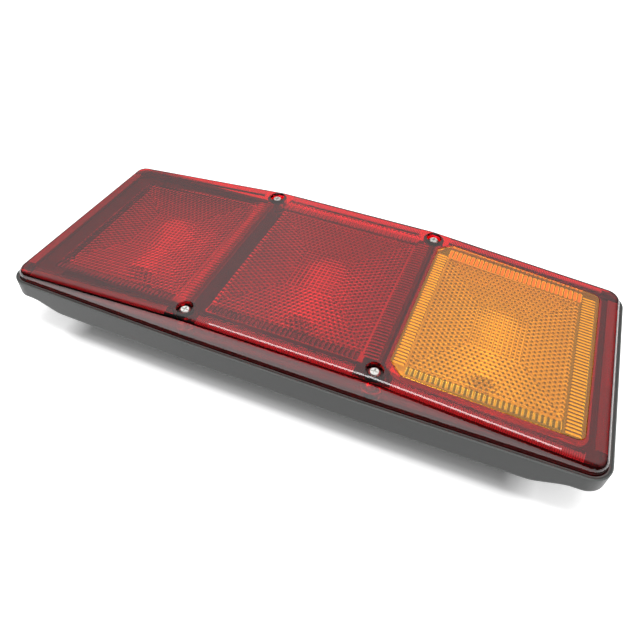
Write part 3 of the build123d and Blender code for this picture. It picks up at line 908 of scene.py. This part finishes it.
class LAMP_OT_red_lens(Operator):
    """Gives the red lens the optics of its tail and stop fields and its ribbed border"""

    bl_idname = "lamp.red_lens"
    bl_label = "Red lens"

    def execute(self, context):
        sizes = context.scene.lamp_sizes
        materials = lens_finishes("red")
        ribs = border_ribs(sizes, materials)
        optic_lens("red_lens", materials, ("tail", "stop"), sizes, sizes.underside, ribs)
        return {"FINISHED"}


class LAMP_OT_amber_lens(Operator):
    """Gives the amber lens its pillows and flutes"""

    bl_idname = "lamp.amber_lens"
    bl_label = "Amber lens"

    def execute(self, context):
        sizes = context.scene.lamp_sizes
        optic_lens("amber_lens", lens_finishes("amber"), ("turn",), sizes, sizes.amber_underside)
        return {"FINISHED"}


# Stage


def product(tree, first, second):
    """The product of two values."""
    times = tree.nodes.new("ShaderNodeMath")
    times.operation = "MULTIPLY"
    tree.links.new(first, times.inputs[0])
    tree.links.new(second, times.inputs[1])
    return times.outputs["Value"]


def background_ray(tree):
    """One where a ray comes from the camera, or from it by way of gloss or clear plastic."""
    path = tree.nodes.new("ShaderNodeLightPath")
    gloss = tree.nodes.new("ShaderNodeMath")
    gloss.operation = "MAXIMUM"
    tree.links.new(path.outputs["Is Camera Ray"], gloss.inputs[0])
    tree.links.new(path.outputs["Is Glossy Ray"], gloss.inputs[1])
    through = tree.nodes.new("ShaderNodeMath")
    through.operation = "MAXIMUM"
    tree.links.new(gloss.outputs["Value"], through.inputs[0])
    tree.links.new(path.outputs["Is Transmission Ray"], through.inputs[1])
    return through.outputs["Value"]


def add_floor():
    """A wide pale floor under the lamp that turns white a little way from it, with a painted shadow
    where its white is held back near the lamp.
    """
    deselect()
    bpy.ops.mesh.primitive_plane_add(size=FLOOR_WIDTH)
    floor = bpy.context.object
    floor.name = "floor"
    material, tree, output = fresh_material("pale floor")
    matt = tree.nodes.new("ShaderNodeBsdfDiffuse")
    matt.inputs["Color"].default_value = (FLOOR_TONE, FLOOR_TONE, FLOOR_TONE, 1.0)
    white = tree.nodes.new("ShaderNodeEmission")
    white.inputs["Color"].default_value = (1.0, 1.0, 1.0, 1.0)
    where = tree.nodes.new("ShaderNodeTexCoord").outputs["Object"]
    for operation, value in FLOOR_SHADOW_STEPS:
        step = tree.nodes.new("ShaderNodeVectorMath")
        step.operation = operation
        tree.links.new(where, step.inputs[0])
        if value:
            step.inputs[1].default_value = value
        where = step.outputs["Value" if operation == "LENGTH" else "Vector"]
    # Painted shadow: the floor's own white light is dim close to the lamp and grows to full a little
    # way out
    shadow_lift = tree.nodes.new("ShaderNodeMapRange")
    for name, value in FLOOR_PAINTED_SHADOW:
        shadow_lift.inputs[name].default_value = value
    tree.links.new(where, shadow_lift.inputs["Value"])
    seen = product(tree, shadow_lift.outputs["Result"], background_ray(tree))
    tree.links.new(seen, white.inputs["Strength"])
    both = tree.nodes.new("ShaderNodeAddShader")
    tree.links.new(matt.outputs["BSDF"], both.inputs[0])
    tree.links.new(white.outputs["Emission"], both.inputs[1])
    tree.links.new(both.outputs["Shader"], output.inputs["Surface"])
    floor.data.materials.append(material)


def add_world(context, strength):
    """A room, white to the camera, dimmer near the floor and dark at the near side in reflections."""
    world = bpy.data.worlds.new("white room")
    context.scene.world = world
    world.use_nodes = True
    tree = world.node_tree
    tree.nodes.clear()
    output = tree.nodes.new("ShaderNodeOutputWorld")
    light = tree.nodes.new("ShaderNodeBackground")
    light.inputs["Color"].default_value = (1.0, 1.0, 1.0, 1.0)
    tree.links.new(light.outputs["Background"], output.inputs["Surface"])
    where = tree.nodes.new("ShaderNodeTexCoord")
    split = tree.nodes.new("ShaderNodeSeparateXYZ")
    tree.links.new(where.outputs["Generated"], split.inputs["Vector"])
    levels = []
    for axis, *values in ROOM_LEVELS:
        spread = tree.nodes.new("ShaderNodeMapRange")
        spread.interpolation_type = "SMOOTHSTEP"
        for name, value in zip(("From Min", "From Max", "To Min", "To Max"), values):
            spread.inputs[name].default_value = value
        tree.links.new(split.outputs[axis], spread.inputs["Value"])
        levels.append(spread.outputs["Result"])
    path = tree.nodes.new("ShaderNodeLightPath")
    mirrored = tree.nodes.new("ShaderNodeMix")
    mirrored.inputs["A"].default_value = 1.0
    tree.links.new(path.outputs["Is Glossy Ray"], mirrored.inputs["Factor"])
    tree.links.new(product(tree, levels[1], levels[2]), mirrored.inputs["B"])
    level = product(tree, levels[0], mirrored.outputs["Result"])
    power = tree.nodes.new("ShaderNodeMath")
    power.operation = "MULTIPLY"
    power.inputs[1].default_value = strength
    tree.links.new(level, power.inputs[0])
    seen = tree.nodes.new("ShaderNodeMix")
    seen.inputs["B"].default_value = 1.0
    tree.links.new(path.outputs["Is Camera Ray"], seen.inputs["Factor"])
    tree.links.new(power.outputs["Value"], seen.inputs["A"])
    tree.links.new(seen.outputs["Result"], light.inputs["Strength"])


def add_lamp(name, spot, size, power):
    """A soft lamp above that shines straight down."""
    bpy.ops.object.light_add(type="AREA", location=spot)
    lamp = bpy.context.object
    lamp.name = name
    lamp.data.shape = "RECTANGLE"
    lamp.data.size, lamp.data.size_y = size
    lamp.data.energy = power


def add_camera(context, settings):
    """The camera at the photograph's place."""
    bpy.ops.object.camera_add(location=settings.place)
    camera = bpy.context.object
    camera.name = "camera"
    flat = math.cos(settings.elevation)
    back = Vector((
        math.sin(settings.azimuth) * flat, -math.cos(settings.azimuth) * flat,
        math.sin(settings.elevation),
    ))
    right = Vector((0.0, 0.0, 1.0)).cross(back).normalized()
    up = back.cross(right)
    across = right * math.cos(settings.roll) + up * math.sin(settings.roll)
    upward = up * math.cos(settings.roll) - right * math.sin(settings.roll)
    camera.rotation_euler = Matrix((across, upward, back)).transposed().to_euler()
    camera.data.sensor_width = SENSOR_WIDTH
    camera.data.lens = settings.lens
    context.scene.camera = camera


class LAMP_OT_stage(Operator):
    """Adds the floor, the light and the camera"""

    bl_idname = "lamp.stage"
    bl_label = "Stage"

    def execute(self, context):
        settings = context.scene.lamp_stage
        add_floor()
        add_world(context, settings.sky)
        add_lamp("key", KEY_PLACE, KEY_SIZE, settings.key)
        add_camera(context, settings)
        context.scene.view_settings.view_transform = "Standard"
        return {"FINISHED"}


# Panel and registration


class LAMP_PT_panel(Panel):
    """Lists the lamp's steps"""

    bl_idname = "LAMP_PT_panel"
    bl_label = "Tail light cluster"
    bl_space_type = "VIEW_3D"
    bl_region_type = "UI"
    bl_category = "Tail light"

    def draw(self, context):
        for step in STEPS:
            self.layout.operator(step.bl_idname)


STEPS = (LAMP_OT_finishes, LAMP_OT_red_lens, LAMP_OT_amber_lens, LAMP_OT_stage)
GROUPS = (LensSizes, LampColours, StageSettings)


def register():
    for group in GROUPS:
        bpy.utils.register_class(group)
    for step in STEPS:
        bpy.utils.register_class(step)
    bpy.utils.register_class(LAMP_PT_panel)
    bpy.types.Scene.lamp_sizes = PointerProperty(type=LensSizes)
    bpy.types.Scene.lamp_colours = PointerProperty(type=LampColours)
    bpy.types.Scene.lamp_stage = PointerProperty(type=StageSettings)


def unregister():
    del bpy.types.Scene.lamp_stage
    del bpy.types.Scene.lamp_colours
    del bpy.types.Scene.lamp_sizes
    bpy.utils.unregister_class(LAMP_PT_panel)
    for step in reversed(STEPS):
        bpy.utils.unregister_class(step)
    for group in reversed(GROUPS):
        bpy.utils.unregister_class(group)


def main():
    register()
    bpy.ops.lamp.finishes()
    bpy.ops.lamp.red_lens()
    bpy.ops.lamp.amber_lens()
    bpy.ops.lamp.stage()


if __name__ == "__main__":
    main()
